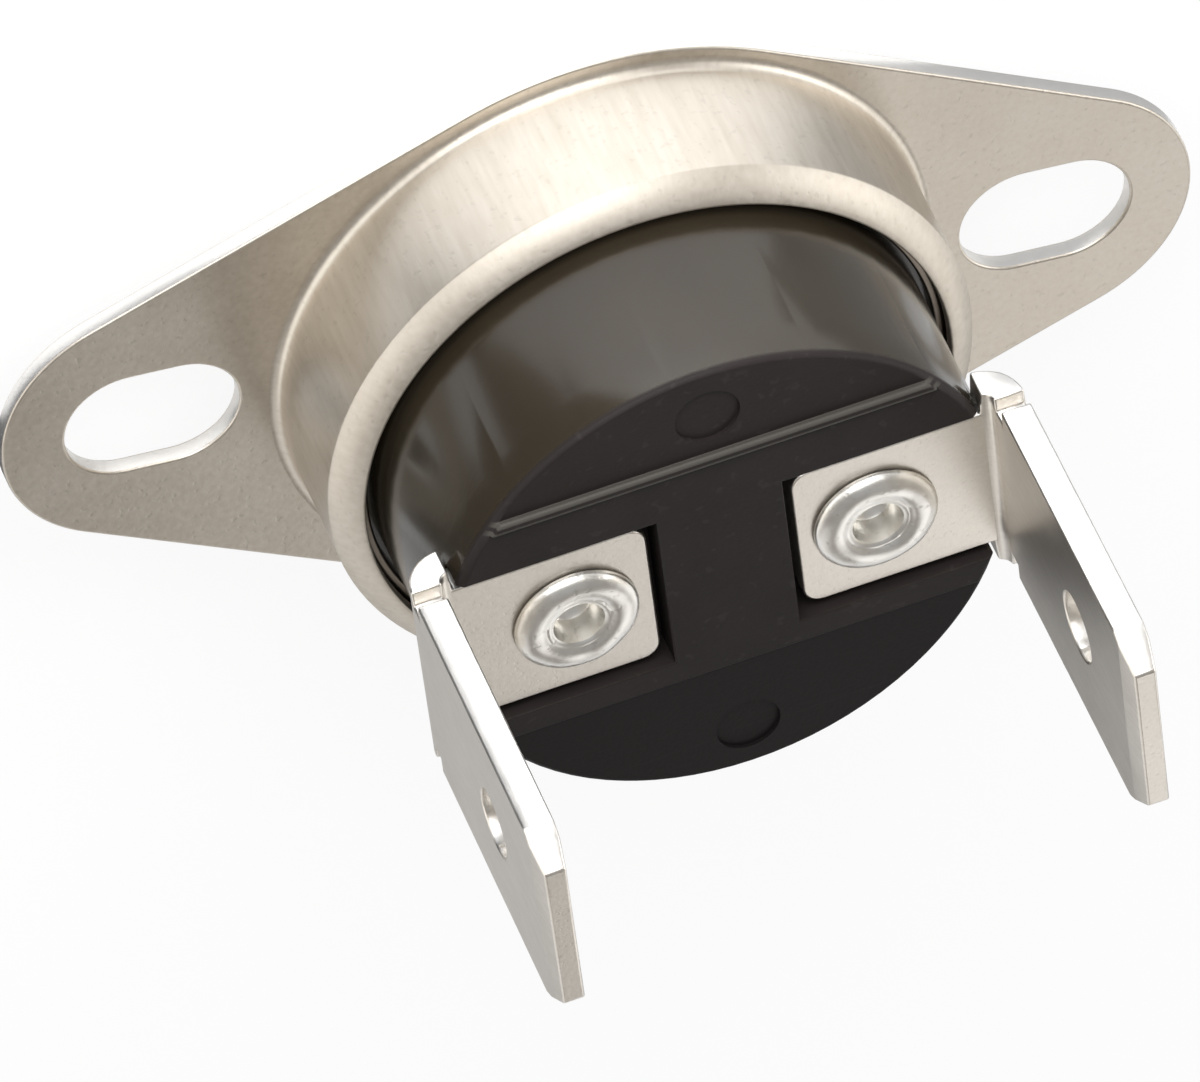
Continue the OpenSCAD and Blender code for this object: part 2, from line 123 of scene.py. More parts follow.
class Finish:  # a node tree that is built by name
    def __init__(self, tree):
        self.tree = tree

    def add(self, kind, settings=None, inputs=None, output=0):
        node = self.tree.nodes.new(kind)
        for key, value in (settings or {}).items():
            if key == "stops":
                self.setStops(node.color_ramp, value)
            else:
                setattr(node, key, value)
        for key, value in (inputs or {}).items():
            self.join(value, node.inputs[key])
        return Value(self, node.outputs[output])

    def setStops(self, ramp, stops):  # each stop is a place and a grey or a colour
        while len(ramp.elements) < len(stops):
            ramp.elements.new(0.5)
        for element, (place, tone) in zip(ramp.elements, stops):
            element.position = place
            element.color = (*tone, 1) if isinstance(tone, tuple) else (tone, tone, tone, 1)

    def join(self, value, socket):
        if isinstance(value, Value):
            self.tree.links.new(value.socket, socket)
        elif socket.type == "RGBA":
            socket.default_value = (*value, 1)
        else:
            socket.default_value = value

    def split(self, vector):
        node = self.add("ShaderNodeSeparateXYZ", None, {"Vector": vector}).socket.node
        return [Value(self, socket) for socket in node.outputs]

    def spot(self, stretch=(1, 1, 1)):  # object coordinates in millimetres
        place = self.add("ShaderNodeTexCoord", None, None, "Object")
        scale = [share / mm for share in stretch]
        return self.add("ShaderNodeMapping", None, {"Vector": place, "Scale": scale})

    def grain(self, scale, detail, stretch=(1, 1, 1), rough=0.5):
        inputs = {"Vector": self.spot(stretch), "Scale": scale, "Detail": detail, "Roughness": rough}
        return self.add("ShaderNodeTexNoise", None, inputs)

    def ramp(self, value, stops):
        return self.add("ShaderNodeValToRGB", {"stops": stops}, {"Fac": value})

    def rise(self, value, low, high):  # 0 up to the low value, 1 from the high one
        return self.ramp(value, ((low, 0.0), (high, 1.0)))

    def mix(self, share, low, high):
        return self.add("ShaderNodeMix", {"data_type": "RGBA"}, {0: share, 6: low, 7: high}, 2)

    def facing(self, direction):  # 1 where a face looks along a direction, either way
        normal = self.add("ShaderNodeTexCoord", None, None, "Normal")
        settings = {"operation": "DOT_PRODUCT"}
        return abs(self.add("ShaderNodeVectorMath", settings, {0: normal, 1: direction}, "Value"))

    def region(self, part):  # 1 in one part of a piece, 0 elsewhere
        x, y, z = self.split(self.spot())
        steps = []
        if "above" in part:
            steps.append(z.step(part["above"], edgeSlope["height"]))
        if "below" in part:
            steps.append(z.step(part["below"], -edgeSlope["height"]))
        if "beyond" in part:  # a distance from the axis of the switch
            steps.append((x * x + y * y).root().step(part["beyond"], edgeSlope["radius"]))
        if "ring" in part:  # a distance from the axis of either rivet
            off = abs(x * alongTabs.x + y * alongTabs.y) - rivetPlace
            across = x * acrossTabs.x + y * acrossTabs.y
            steps.append((off * off + across * across).root().step(part["ring"], edgeSlope["radius"]))
        if "band" in part:  # between two distances from a line that is parallel to the tabs' line
            place, inner, outer = part["band"]
            off = abs(x * acrossTabs.x + y * acrossTabs.y - place)
            steps += [off.step(inner, edgeSlope["band"]), off.step(outer, -edgeSlope["band"])]
        if "facing" in part:  # looks along a direction
            steps.append(self.facing(part["facing"]).step(**facingStep))
        if "aside" in part:  # looks away from a direction
            steps.append((1 - self.facing(part["aside"])).step(**facingStep))
        return math.prod(steps)


def seenBy(finish, *names):  # 1 for the named kinds of ray
    path = finish.add("ShaderNodeLightPath").socket.node
    seen = Value(finish, path.outputs[names[0]])
    for name in names[1:]:
        seen = seen.maths("MAXIMUM", seen, Value(finish, path.outputs[name]))
    return seen


studio = {
    "white": 1.0, "fill": 0.37,
    "floorReach": 1.5,  # metres
    "floorHeight": -0.02, "sheetHeight": -0.01,  # mm
    "floorTone": 0.95, "floorRough": 0.9,
    "backgroundShare": 0.88, "mirrorShare": 0.12,  # how much of the floor is white, seen or mirrored
    # what metal mirrors, by height above the horizon
    "room": ((0.0, (1, 1, 1)), (0.16, (1, 1, 1)), (0.40, (0.24, 0.222, 0.20)),
             (0.82, (0.24, 0.222, 0.20)), (1.0, (0.38, 0.38, 0.38))),
    # the room's lighter left and right, up to a height
    "sides": {"from": 0.62, "to": 0.82, "top": 0.62, "fade": 0.15,
              "left": (1.6, 1.58, 1.54), "right": (1.3, 1.29, 1.26)},
    # places and sizes in metres, power in watts; a lamp without an aim looks at the switch
    "aim": (0, 0, 0.008),
    "lamps": {
        "key": {"place": (0.10, -0.42, 0.28), "size": 0.45, "power": 2.0},
        "side": {"place": (-0.42, -0.12, 0.22), "size": 0.25, "power": 0.35},
        "back": {"place": (0.20, 0.45, 0.30), "size": 0.30, "power": 0.16},
        # lights the plate's far end
        "card": {"place": (-0.054, 0.094, 0.084), "size": 0.055, "power": 0.011},
        # whitens the floor that the front of the collar mirrors
        "front": {"place": (0.008, -0.045, 0.022), "size": 0.03, "power": 0.028,
                  "aim": (0, -0.014, 0), "mirrored": False},
    },
    # glowing sheets on the floor that are only seen mirrored, by the blades and by the case's wall:
    # painted darker reflections
    "sheets": {
        "behindLeft": {"low": (0.0, 0.009), "high": (0.06, 0.08), "tone": 0.55},
        "behindRight": {"low": (-0.06, 0.009), "high": (0.0, 0.08), "tone": 0.28},
        "leftFront": {"low": (0.0125, -0.06), "high": (0.06, -0.0155), "tone": 0.12},
        "leftNear": {"low": (0.0135, -0.0155), "high": (0.06, -0.0076), "tone": 0.07},
        "leftEnd": {"low": (0.0188, -0.0076), "high": (0.06, 0.001), "tone": 0.07},
        "leftFar": {"low": (0.0135, 0.001), "high": (0.06, 0.008), "tone": 0.07},
        "right": {"low": (-0.06, -0.0165), "high": (-0.0105, 0.0), "tone": 0.45},
    },
}


def makeRoom():
    world = bpy.data.worlds.new("studio")
    world.use_nodes = True
    bpy.context.scene.world = world
    finish = Finish(world.node_tree)
    across, _, height = finish.split(finish.add("ShaderNodeTexCoord", None, None, "Generated"))
    sides = studio["sides"]
    share = ((abs(across) - sides["from"]) * (1 / (sides["to"] - sides["from"]))).clamped()
    share = share * height.over(0.0)
    share = share * (1 - ((height - sides["top"]) * (1 / sides["fade"])).clamped())
    side = finish.mix(across.over(0.0), sides["right"], sides["left"])
    room = finish.mix(share, finish.ramp(height, studio["room"]), side)
    fill, white = [studio["fill"]] * 3, [studio["white"]] * 3
    mirror = seenBy(finish, "Is Glossy Ray", "Is Transmission Ray")
    tone = finish.mix(seenBy(finish, "Is Camera Ray"), finish.mix(mirror, fill, room), white)
    finish.join(tone, world.node_tree.nodes["Background"].inputs["Color"])


def startMaterial(name, fixed):
    material = bpy.data.materials.new(name)
    material.use_nodes = True
    shader = material.node_tree.nodes["Principled BSDF"]
    for key, value in fixed.items():
        shader.inputs[key].default_value = value
    return material, Finish(material.node_tree), shader


def glowing(finish, strength):
    return finish.add("ShaderNodeEmission", None, {"Color": (1, 1, 1), "Strength": strength})


def stageSheet(name, low, high, height, material):  # a level sheet, its corners in metres
    bm = bmesh.new()
    corners = ((low[0], low[1]), (high[0], low[1]), (high[0], high[1]), (low[0], high[1]))
    bm.faces.new([bm.verts.new((x, y, height * mm)) for x, y in corners])
    mesh = bpy.data.meshes.new(name)
    bm.to_mesh(mesh)
    bm.free()
    mesh.materials.append(material)
    sheet = bpy.data.objects.new(name, mesh)
    bpy.context.scene.collection.objects.link(sheet)
    return sheet


def makeFloor():
    fixed = {"Base Color": (*[studio["floorTone"]] * 3, 1), "Roughness": studio["floorRough"],
             "Specular IOR Level": 0.0}
    material, finish, shader = startMaterial("paleFloor", fixed)
    share = seenBy(finish, "Is Camera Ray") * studio["backgroundShare"]
    share = share + seenBy(finish, "Is Glossy Ray", "Is Transmission Ray") * studio["mirrorShare"]
    inputs = {0: share, 1: Value(finish, shader.outputs[0]), 2: glowing(finish, studio["white"])}
    mixed = finish.add("ShaderNodeMixShader", None, inputs)
    finish.join(mixed, material.node_tree.nodes["Material Output"].inputs["Surface"])
    reach = studio["floorReach"]
    stageSheet("floor", (-reach, -reach), (reach, reach), studio["floorHeight"], material)


def makeSheets():
    for name, look in studio["sheets"].items():
        material, finish, _ = startMaterial(name + "Sheet", {})
        surface = material.node_tree.nodes["Material Output"].inputs["Surface"]
        finish.join(glowing(finish, look["tone"]), surface)
        sheet = stageSheet(name + "Sheet", look["low"], look["high"], studio["sheetHeight"], material)
        sheet.visible_camera = sheet.visible_diffuse = sheet.visible_shadow = False


def makeLamps():
    for name, lamp in studio["lamps"].items():
        data = bpy.data.lights.new(name, "AREA")
        data.shape = "SQUARE"
        data.size = lamp["size"]
        data.energy = lamp["power"]
        light = bpy.data.objects.new(name, data)
        bpy.context.scene.collection.objects.link(light)
        light.location = lamp["place"]
        light.visible_glossy = lamp.get("mirrored", True)
        aim = Vector(lamp.get("aim", studio["aim"]))
        light.rotation_mode = "QUATERNION"
        light.rotation_quaternion = (aim - light.location).to_track_quat("-Z", "Y")


bpy.context.scene.view_settings.view_transform = "Standard"
makeRoom()
makeFloor()
makeSheets()
makeLamps()
print("floor and lamps placed")


def bump(finish, shader, height, depth):  # depth in mm
    inputs = {"Height": height, "Distance": depth * mm, "Strength": 1.0}
    finish.join(finish.add("ShaderNodeBump", None, inputs), shader.inputs["Normal"])


# the grain of every metal: a fine grain, a broad cloud and dark specks
metalGrain = {
    "detail": 3, "cloud": 0.35, "cloudRough": 0.6, "blotch": (0.3, 0.7),
    "toneByFine": 0.55, "roughByFine": 0.7,  # the cloud has the rest
    "speck": 5.0, "speckDetail": 1, "speckRise": (0.62, 0.74), "speckShade": 0.55, "speckDepth": 0.5,
}


def metal(name, look):
    grain = metalGrain
    material, finish, shader = startMaterial(name, {"Metallic": 1.0})
    fine = finish.grain(look["grain"], grain["detail"], look.get("stretch", (1, 1, 1)))
    cloud = finish.grain(grain["cloud"], grain["detail"], rough=grain["cloudRough"])
    speck = finish.grain(look.get("speck", grain["speck"]), grain["speckDetail"])
    speck = finish.rise(speck, *grain["speckRise"])
    share = grain["toneByFine"]
    blotch = finish.rise(fine * share + cloud * (1 - share), *grain["blotch"])
    tone = finish.mix(blotch, look["shade"], look["tone"])
    dark = [grain["speckShade"] * part for part in look["shade"]]
    tone = finish.mix(speck * look["marks"], tone, dark)
    for part in look.get("parts", ()):  # painted highlights on sheared edges, painted shade in a gap and round a rivet's foot
        tone = finish.mix(finish.region(part), tone, part["tone"])
    finish.join(tone, shader.inputs["Base Color"])
    low, high = look["rough"]
    share = grain["roughByFine"]
    rough = (fine * share + cloud * (1 - share)) * (high - low) + low
    if "matt" in look:  # a part that is rolled dull
        rough = rough + finish.region(look["matt"]) * look["matt"]["more"]
    finish.join(rough, shader.inputs["Roughness"])
    bump(finish, shader, fine - speck * grain["speckDepth"], look["depth"])
    return material


# the grain of every moulding: a fine grain, a broad cloud and pale flecks
mouldGrain = {
    "detail": 3, "cloud": 0.5, "roughSpread": 0.1,
    "fleck": 3.2, "fleckStretch": (1, 1, 0.6), "fleckDetail": 1, "fleckRise": (0.66, 0.72),
    "shine": 0.5, "coatRough": 0.16, "coatIndex": 1.5,
}


def moulded(name, look):
    grain = mouldGrain
    fixed = {"Coat Roughness": grain["coatRough"], "Coat IOR": grain["coatIndex"],
             "Specular IOR Level": look.get("shine", grain["shine"])}
    material, finish, shader = startMaterial(name, fixed)
    fine = finish.grain(look["grain"], grain["detail"])
    cloud = finish.grain(grain["cloud"], grain["detail"])
    flecks = finish.grain(grain["fleck"], grain["fleckDetail"], grain["fleckStretch"])
    flecks = finish.rise(flecks, *grain["fleckRise"])
    tone = finish.mix(cloud, look["shade"], look["tone"])
    tone = finish.mix(flecks * look["flecks"], tone, look["fleck"])
    wall, end = look["rough"]
    rough = (fine - 0.5) * grain["roughSpread"] + end
    if "wall" in look:  # the polished outer wall; its lighter, browner tone is partly painted sheen
        share = finish.region(look["wall"])
        wallToneAndSheen = finish.mix(cloud, look["wall"]["shade"], look["wall"]["tone"])
        tone = finish.mix(share, tone, wallToneAndSheen)
        rough = rough - share * (end - wall)
        finish.join(share * look["coat"], shader.inputs["Coat Weight"])
    for part in look.get("parts", ()):  # painted highlight on the rib's two edges, painted shade on the end face's far field
        tone = finish.mix(finish.region(part), tone, part["tone"])
    finish.join(tone, shader.inputs["Base Color"])
    finish.join(rough, shader.inputs["Roughness"])
    bump(finish, shader, fine, look["depth"])
    return material


metals = {
    # plated sheet: one grain reads as speckle on the flat and as upright streaks on the collar
    "flange": {"tone": (0.72, 0.67, 0.60), "shade": (0.60, 0.545, 0.47), "rough": (0.32, 0.46),
               "grain": 5.0, "stretch": (1, 1, 0.12), "marks": 0.16, "depth": 0.004,
               "matt": {"above": 6.64, "more": 0.10},
               # painted highlight: the plate's upright edges are lighter
               "parts": [{"aside": upright, "below": 3.0, "tone": (0.95, 0.94, 0.92)}]},
    "cup": {"tone": (0.93, 0.93, 0.92), "shade": (0.85, 0.85, 0.84), "rough": (0.25, 0.4),
            "grain": 6.0, "stretch": (1, 1, 0.1), "marks": 0.1, "depth": 0.002,
            # painted shade: the crimp's top, down in the gap under the rim, is darkened
            "parts": [{"above": 6.4, "tone": (0.22, 0.19, 0.16)}]},
    "tab": {"tone": (0.84, 0.80, 0.745), "shade": (0.72, 0.68, 0.62), "rough": (0.27, 0.40),
            "grain": 8.0, "stretch": (1, 1, 0.15), "speck": 9.0, "marks": 0.08, "depth": 0.0025,
            # painted highlight: the sheared sides, which face across the tabs, are lighter
            "parts": [{"facing": acrossTabs, "tone": (0.96, 0.95, 0.93)}]},
    "rivet": {"tone": (0.93, 0.92, 0.89), "shade": (0.80, 0.78, 0.74), "rough": (0.24, 0.40),
              "grain": 3.5, "marks": 0.3, "depth": 0.006,
              # painted shadow: a dark ring round the head's foot, where it meets the tab
              "parts": [{"above": 12.0, "below": 12.11, "ring": 1.3, "tone": (0.06, 0.055, 0.05)}]},
    "brass": {"tone": (0.83, 0.68, 0.38), "shade": (0.70, 0.54, 0.28), "rough": (0.2, 0.36),
              "grain": 6.0, "stretch": (0.15, 1, 1), "marks": 0.2, "depth": 0.002},
    "copper": {"tone": (0.84, 0.58, 0.36), "shade": (0.70, 0.44, 0.26), "rough": (0.18, 0.32),
               "grain": 6.0, "stretch": (0.15, 1, 1), "marks": 0.2, "depth": 0.002},
    "silver": {"tone": (0.92, 0.92, 0.90), "shade": (0.80, 0.79, 0.76), "rough": (0.16, 0.3),
               "grain": 4.0, "marks": 0.3, "depth": 0.003},
    "bimetal": {"tone": (0.64, 0.62, 0.58), "shade": (0.52, 0.49, 0.45), "rough": (0.28, 0.44),
                "grain": 5.0, "stretch": (0.12, 1, 1), "marks": 0.25, "depth": 0.003},
}
mouldings = {
    "case": {"tone": (0.018, 0.0145, 0.014), "shade": (0.011, 0.009, 0.0085),
             "fleck": (0.04, 0.036, 0.034), "flecks": 0.2, "rough": (0.24, 0.50),
             "shine": 0.16, "coat": 0.7, "grain": 8.0, "depth": 0.004,
             # the polished wall: a lighter, browner tone, partly painted sheen
             "wall": {"beyond": 7.25, "below": 12.05,
                      "tone": (0.024, 0.019, 0.012), "shade": (0.016, 0.012, 0.008)},
             # painted highlight along both edges of the rib; painted shade on the far field below
             "parts": [{"band": (-4.37, 0.055, 0.185), "above": 12.2, "tone": (0.05, 0.0465, 0.041)},
                       # painted shade: the far field of the end face is darker
                       {"band": (6.0, 0, 2.6), "above": 12.1, "tone": (0.006, 0.005, 0.005)}]},
    "guide": {"tone": (0.23, 0.12, 0.065), "shade": (0.15, 0.075, 0.04),
              "fleck": (0.36, 0.24, 0.15), "flecks": 0.5, "rough": (0.5, 0.5),
              "grain": 7.0, "depth": 0.004},
    "ceramic": {"tone": (0.86, 0.845, 0.80), "shade": (0.80, 0.78, 0.72),
                "fleck": (0.6, 0.56, 0.5), "flecks": 0.4, "rough": (0.6, 0.6),
                "grain": 9.0, "depth": 0.003},
}
materials = {name: metal(name + "Metal", look) for name, look in metals.items()}
materials.update({name: moulded(name + "Moulding", look) for name, look in mouldings.items()})

# the inner pieces that keep their solids
inside = {
    "bimetal_disc": "bimetal", "disc_guide": "guide", "push_pin": "ceramic",
    "arm_bracket": "brass", "arm_rivet": "brass", "moving_contact": "silver",
    "contact_bracket": "brass", "fixed_contact": "silver",
}
for node, finishName in inside.items():
    nodes[node].data.materials.clear()
    nodes[node].data.materials.append(materials[finishName])
print("finishes made:", len(materials))


def arc(centre, radius, start, end, steps):  # points of an arc, angles in degrees
    angles = [math.radians(start + (end - start) * i / steps) for i in range(steps + 1)]
    return [(centre[0] + radius * math.cos(a), centre[1] + radius * math.sin(a)) for a in angles]


def chain(bm, points, closed=False):  # a line of edges through points given in mm
    verts = [bm.verts.new([c * mm for c in point]) for point in points]
    pairs = list(zip(verts, verts[1:])) + ([(verts[-1], verts[0])] if closed else [])
    return verts, [bm.edges.new(pair) for pair in pairs]


def spinSection(bm, section, steps):  # turns a section of (radius, height) about the upright axis
    verts, edges = chain(bm, [(radius, 0, height) for radius, height in section])
    bmesh.ops.spin(bm, geom=verts + edges, cent=(0, 0, 0), axis=(0, 0, 1), dvec=(0, 0, 0),
                   angle=2 * math.pi, steps=steps, use_merge=True, use_duplicate=False)


def bevelSharp(bm, width, angle, chosen, segments=2):  # rounds the chosen edges that turn by more
    limit = math.radians(angle)
    edges = [e for e in bm.edges
             if len(e.link_faces) == 2 and e.calc_face_angle(0) > limit and chosen(e)]
    bmesh.ops.bevel(bm, geom=edges, offset=width * mm, offset_type="OFFSET", segments=segments,
                    profile=0.5, affect="EDGES", clamp_overlap=True, material=-1)


def cutAcross(bm, place, normal):  # leaves edges where a plane crosses the piece
    bmesh.ops.bisect_plane(bm, geom=bm.verts[:] + bm.edges[:] + bm.faces[:], dist=1e-7,
                           plane_co=place, plane_no=normal)


joining = {
    "doubles": 2e-7, "solidDoubles": 1e-6,  # metres
    "flatAngle": 0.4, "sharp": 40,  # degrees
    "level": 0.99999,  # how nearly a face stands on one of the true planes
}
truePlanes = (upright, alongTabs, acrossTabs)


def mergedCopy(node):  # a solid's triangles joined, and cleared of the lines between flat ones
    bm = bmesh.new()
    bm.from_mesh(nodes[node].data)
    bmesh.ops.remove_doubles(bm, verts=bm.verts, dist=joining["solidDoubles"])
    bmesh.ops.dissolve_limit(bm, angle_limit=math.radians(joining["flatAngle"]),
                             verts=bm.verts, edges=bm.edges)
    return bm


def finishPiece(name, bm, finishName, body, node, sharp=joining["sharp"]):
    bmesh.ops.remove_doubles(bm, verts=bm.verts, dist=joining["doubles"])
    bmesh.ops.recalc_face_normals(bm, faces=bm.faces)
    mesh = bpy.data.meshes.new(name)
    bm.to_mesh(mesh)
    bm.free()
    mesh.set_sharp_from_angle(angle=math.radians(sharp))
    # a level or upright face stays flat, so that no rounding beside it bends its gloss
    for face in mesh.polygons:
        leans = [abs(face.normal.dot(plane)) < joining["level"] for plane in truePlanes]
        face.use_smooth = all(leans)
    mesh.materials.append(materials[finishName])
    piece = bpy.data.objects.new(name, mesh)
    bpy.context.scene.collection.objects.link(piece)
    if body:
        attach(piece, body)
    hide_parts(node)
    print("piece", name, "faces", len(mesh.polygons))
    return piece


flange = {  # mm and degrees
    "low": 2.5, "thick": 0.5, "top": 7.3, "wall": 0.4, "bore": 8.15, "insideBend": 0.35,
    "fillet": 0.3, "plate": 9.1, "pitch": 23.8, "lobe": 3.95, "slotRadius": 1.65, "slotHalf": 0.65,
    # the rim's band is a little crowned, between a crease over the wall and the sheet's cut edge
    "rimInner": 7.75, "crown": 1.98, "crease": 0.1, "rimEdge": 0.06,
    "bandTurn": (35, 62), "bandStart": 58,
    "edge": 0.07, "edgeAngle": 50, "edgeSteps": 3, "seamNear": 0.01,
    "steps": 144, "outlineSteps": 40, "slotSteps": 28,
}


def collarSection():
    f = flange
    wallR, low, high = f["bore"] + f["wall"], f["low"], f["low"] + f["thick"]
    bend, under, inner = f["fillet"] + f["wall"], f["top"] - f["wall"], f["insideBend"]
    edge, (turn, flatEnd) = f["rimEdge"], f["bandTurn"]
    a, b = math.radians(turn), math.radians(flatEnd)
    tip = (f["rimInner"] + edge, f["top"] - edge)
    bandEnd = (tip[0] + edge * math.cos(b), tip[1] + edge * math.sin(b))
    middle = (bandEnd[0] - f["crown"] * math.cos(b), bandEnd[1] - f["crown"] * math.sin(b))
    creaseTop = middle[1] + f["crown"] * math.sin(a)
    creaseMiddle = (wallR - f["crease"], creaseTop - f["crease"] * math.sin(a))
    return (arc((f["bore"] + bend, low + bend), bend, 270, 180, steps=8)
            + arc((f["bore"] - inner, under - inner), inner, 0, 90, steps=6)
            + arc((tip[0], under + edge), edge, 270, 180, steps=3)
            + arc(tip, edge, 180, flatEnd, steps=4)
            + arc(middle, f["crown"], f["bandStart"], turn, steps=10)
            + arc(creaseMiddle, f["crease"], turn, 0, steps=3)
            + arc((wallR + f["fillet"], high + f["fillet"]), f["fillet"], 180, 270, steps=8))


def flangeOutline(bm, seam):  # round ends joined to the round middle by straight edges, and holes
    f = flange
    half, steps = f["pitch"] / 2, f["outlineSteps"]
    lean = math.degrees(math.acos((f["plate"] - f["lobe"]) / half))
    outline = (arc((half, 0), f["lobe"], -lean, lean, steps)
               + arc((0, 0), f["plate"], lean, 180 - lean, steps)
               + arc((-half, 0), f["lobe"], 180 - lean, 180 + lean, steps)
               + arc((0, 0), f["plate"], 180 + lean, 360 - lean, steps))
    rings = [outline]
    for side in (-1, 1):
        slot = []
        for start, offset in ((-90, f["slotHalf"]), (90, -f["slotHalf"])):
            centre = (side * half + offset, 0)
            slot += arc(centre, f["slotRadius"], start, start + 180, f["slotSteps"])
        rings.append(slot)
    rings.append(arc((0, 0), seam, 0, 360, f["steps"])[:-1])
    edges = []
    for ring in rings:
        edges += chain(bm, [(x, y, f["low"]) for x, y in ring], closed=True)[1]
    return edges


def makeFlange():
    bm = bmesh.new()
    seam = flange["bore"] + flange["fillet"] + flange["wall"]  # where the plate meets the collar

    def atSeam(item):
        radii = [math.hypot(v.co.x, v.co.y) / mm for v in item.verts]
        return all(abs(radius - seam) < flange["seamNear"] for radius in radii)

    edges = flangeOutline(bm, seam)
    bmesh.ops.triangle_fill(bm, use_beauty=True, use_dissolve=False, edges=edges, normal=(0, 0, 1))
    grown = bmesh.ops.extrude_face_region(bm, geom=list(bm.faces))["geom"]
    top = [item for item in grown if isinstance(item, bmesh.types.BMVert)]
    bmesh.ops.translate(bm, vec=(0, 0, flange["thick"] * mm), verts=top)
    bevelSharp(bm, flange["edge"], flange["edgeAngle"], lambda e: not atSeam(e), flange["edgeSteps"])
    walls = [face for face in bm.faces if abs(face.normal.z) < 0.5 and atSeam(face)]
    bmesh.ops.delete(bm, geom=walls, context="FACES_ONLY")
    spinSection(bm, collarSection(), flange["steps"])
    finishPiece("flangeSheet", bm, "flange", "flange_ring", "mounting_flange")


makeFlange()

cup = {  # mm
    "radius": 8.05, "inner": 7.7, "wall": 0.35, "corner": 0.7, "insideCorner": 0.35,
    "crimpTop": 6.78, "shoulder": 6.43, "lip": 7.53, "lipEdge": 0.06,
    "faceRings": (3.2, 6.75), "steps": 144,
}


def makeCup():
    c = cup
    bm = bmesh.new()
    corner, wall, lip, bend = c["corner"], c["wall"], c["lipEdge"], c["insideCorner"]
    section = ([(0, 0)] + [(radius, 0) for radius in c["faceRings"]]
               + arc((c["radius"] - corner, corner), corner, 270, 360, steps=8)
               + arc((c["radius"] - wall, c["crimpTop"] - wall), wall, 0, 90, steps=6)
               + arc((c["lip"] + lip, c["crimpTop"] - lip), lip, 90, 180, steps=3)
               + [(c["lip"], c["shoulder"]), (c["inner"], c["shoulder"])]
               + arc((c["inner"] - bend, wall + bend), bend, 0, -90, steps=5) + [(0, wall)])
    spinSection(bm, section, c["steps"])
    finishPiece("cupSheet", bm, "cup", "housing", "sensing_cup")


makeCup()

case = {  # mm and degrees
    "face": 12.3, "edge": 0.05, "edgeAngle": 28, "sharp": 50,
    # the long edges over the face are the rib's
    "ribRound": 0.1, "ribAngle": 60, "ribSteps": 4, "overFace": 0.02, "longEdge": 2,
    # the ejector marks keep their edges
    "markPlace": 5.85, "markClear": 0.95,
}


def makeCase():
    c = case
    bm = mergedCopy("case")
    turned = Matrix.Rotation(-caseTurn, 4, "Z")
    bmesh.ops.transform(bm, matrix=turned, verts=bm.verts)

    def onRib(e):
        over = all(v.co.z > (c["face"] + c["overFace"]) * mm for v in e.verts)
        return over and e.calc_length() > c["longEdge"] * mm

    def outside(e):  # convex, and not of the shallow ejector marks
        middle = (e.verts[0].co + e.verts[1].co) / 2 / mm
        off = math.hypot(middle.x, abs(middle.y) - c["markPlace"])
        return e.is_convex and off > c["markClear"]

    bevelSharp(bm, c["ribRound"], c["ribAngle"], onRib, c["ribSteps"])
    bevelSharp(bm, c["edge"], c["edgeAngle"], outside)
    bmesh.ops.transform(bm, matrix=turned.inverted(), verts=bm.verts)
    finishPiece("caseMoulding", bm, "case", "housing", "case", c["sharp"])


makeCase()

tab = {  # mm and degrees
    "half": 3.15, "bevel": 0.08, "bevelAngle": 28,
    "leadFrom": 20.5, "leadAngle": 5,  # the tip's lead-in slopes turn less than the other edges
    "short": 0.055,  # edges up to this length are merged, because they would hold the bevel back
    # the sheared sides: their lowest and highest cut, how far they are off, and how finely
    "sheared": (12.9, 20.8), "cuts": 34, "ragged": 0.03, "sideDepth": 0.09,
    "waves": 1500, "ripples": 4000, "rippleShare": 0.5, "through": 0.3,
}


def makeTab(node, turn):
    bm = mergedCopy(node)
    turned = Matrix.Rotation(-turn, 4, "Z")
    bmesh.ops.transform(bm, matrix=turned, verts=bm.verts)
    bmesh.ops.remove_doubles(bm, verts=bm.verts, dist=tab["short"] * mm)

    def outside(e):
        inLead = min(v.co.z for v in e.verts) > tab["leadFrom"] * mm
        return inLead or e.calc_face_angle(0) > math.radians(tab["bevelAngle"])

    bevelSharp(bm, tab["bevel"], tab["leadAngle"], outside)
    low, high = tab["sheared"]
    for i in range(tab["cuts"]):
        height = low + (high - low) * i / (tab["cuts"] - 1)
        cutAcross(bm, (0, 0, height * mm), (0, 0, 1))
    for vert in bm.verts:  # the shears leave the strip's sides a little uneven
        if tab["half"] - abs(vert.co.y) / mm < tab["sideDepth"]:
            side = math.copysign(tab["half"] * mm, vert.co.y)
            spot = Vector((vert.co.x * tab["through"], side, vert.co.z))
            jag = noise.noise(spot * tab["waves"])
            jag += tab["rippleShare"] * noise.noise(spot * tab["ripples"])
            vert.co.y -= math.copysign(abs(jag) * tab["ragged"] * mm, vert.co.y)
    bmesh.ops.transform(bm, matrix=turned.inverted(), verts=bm.verts)
    finishPiece(node + "Strip", bm, "tab", "housing", node)


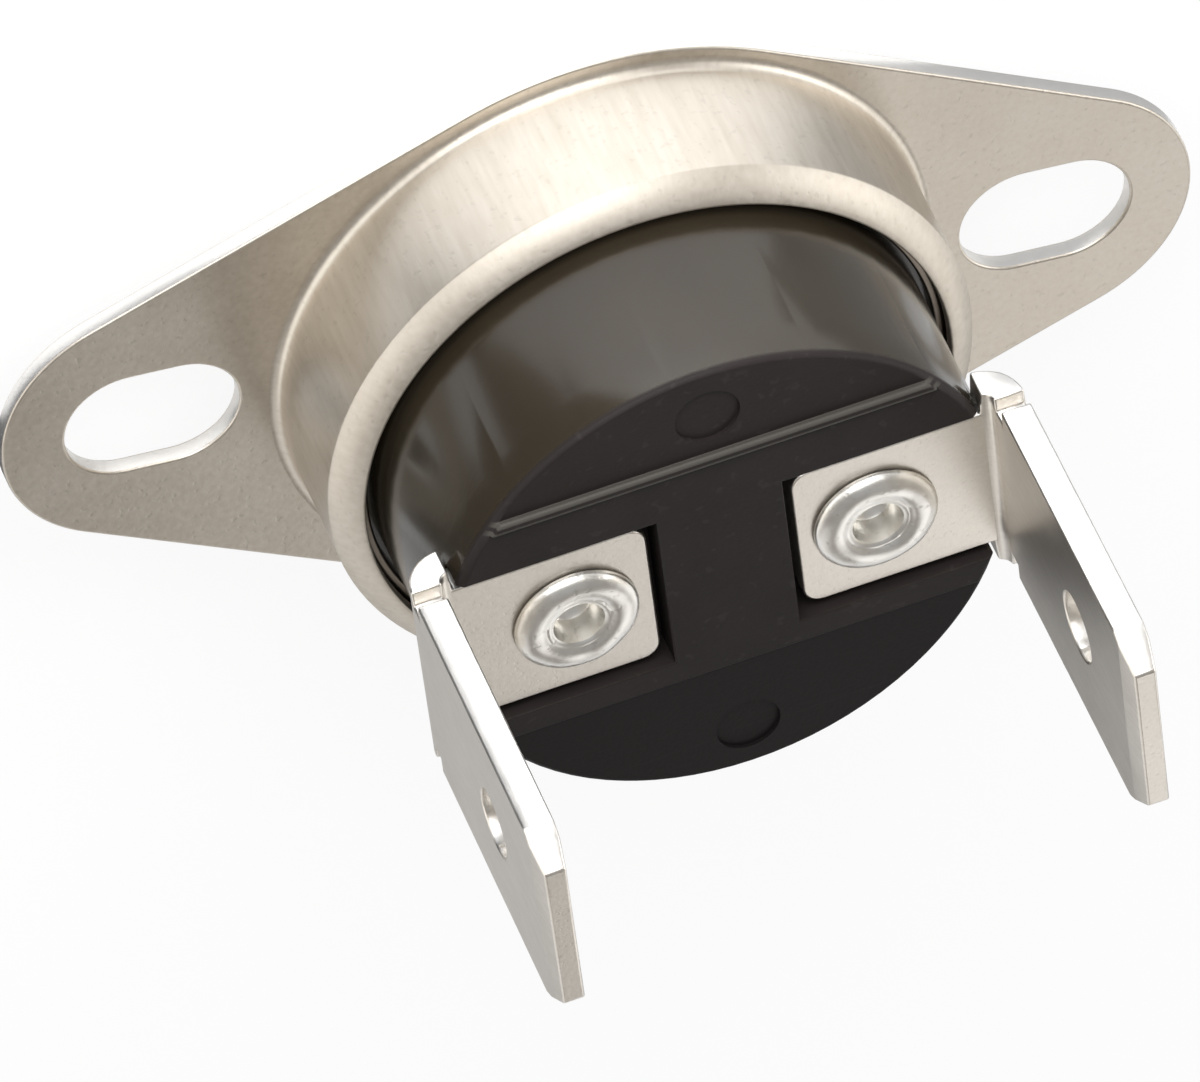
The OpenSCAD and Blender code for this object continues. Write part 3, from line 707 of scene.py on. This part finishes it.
rivet = {  # mm and degrees, points as (radius, height)
    "end": (1.3, 8.4), "endRound": 0.1, "shank": [(1.4, 8.9), (1.1, 8.9), (1.1, 12.05)],
    # the rolled head, its heights over the tab's foot
    "footTop": 12.05,
    "head": [(1.58, 0), (1.64, 0.05), (1.63, 0.13), (1.58, 0.21), (1.49, 0.28), (1.36, 0.34),
             (1.20, 0.37), (1.05, 0.365), (0.93, 0.34)],
    "mouth": (0.82, 12.13), "lip": 0.22, "lipTurn": (80, 130),
    "bore": [(0.61, 12.0), (0.55, 11.62), (0.43, 11.52), (0.2, 11.5), (0, 11.5)],
    "facets": 0.035, "facetScale": 1.3, "facetFrom": 0.2, "facetSpot": (3, 5), "steps": 72,
}


def makeRivet(node, turn):
    r = rivet
    (radius, low), foot = r["end"], r["footTop"]
    section = ([(0, low), (radius, low)]
               + arc((radius, low + r["endRound"]), r["endRound"], 270, 360, steps=3) + r["shank"]
               + [(wide, foot + rise) for wide, rise in r["head"]]
               + arc(r["mouth"], r["lip"], *r["lipTurn"], steps=4) + r["bore"])
    bm = bmesh.new()
    spinSection(bm, section, r["steps"])
    for vert in bm.verts:  # the spinning tool leaves the rolled head in broad facets
        flat = Vector((vert.co.x, vert.co.y, 0)) / mm
        if vert.co.z > (foot + r["facetFrom"]) * mm and flat.length > r["mouth"][0]:
            bulge = noise.noise(flat * r["facetScale"] + Vector((turn, *r["facetSpot"])))
            vert.co.z += bulge * r["facets"] * mm
    turned = Matrix.Rotation(turn, 4, "Z") @ Matrix.Translation((rivetPlace * mm, 0, 0))
    bmesh.ops.transform(bm, matrix=turned, verts=bm.verts)
    finishPiece(node + "Head", bm, "rivet", "housing", node)


for node, turn in (("arm_tab", caseTurn), ("contact_tab", caseTurn + math.pi)):
    makeTab(node, turn)
    makeRivet(node + "_rivet", turn)

# mm from the axis along the tabs' line: the leaf is riveted beyond "held" and stiff before "free"
leaf = {"held": 3.3, "free": 2.5, "cuts": 14}


def makeLeaf():  # cut across between its bracket and its moving end, where the real leaf bends
    bm = mergedCopy("spring_arm")
    for i in range(leaf["cuts"] + 1):
        off = leaf["free"] + (leaf["held"] - leaf["free"]) * i / leaf["cuts"]
        cutAcross(bm, alongTabs * off * mm, alongTabs)
    piece = finishPiece("springLeaf", bm, "copper", None, "spring_arm")
    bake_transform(piece)


makeLeaf()
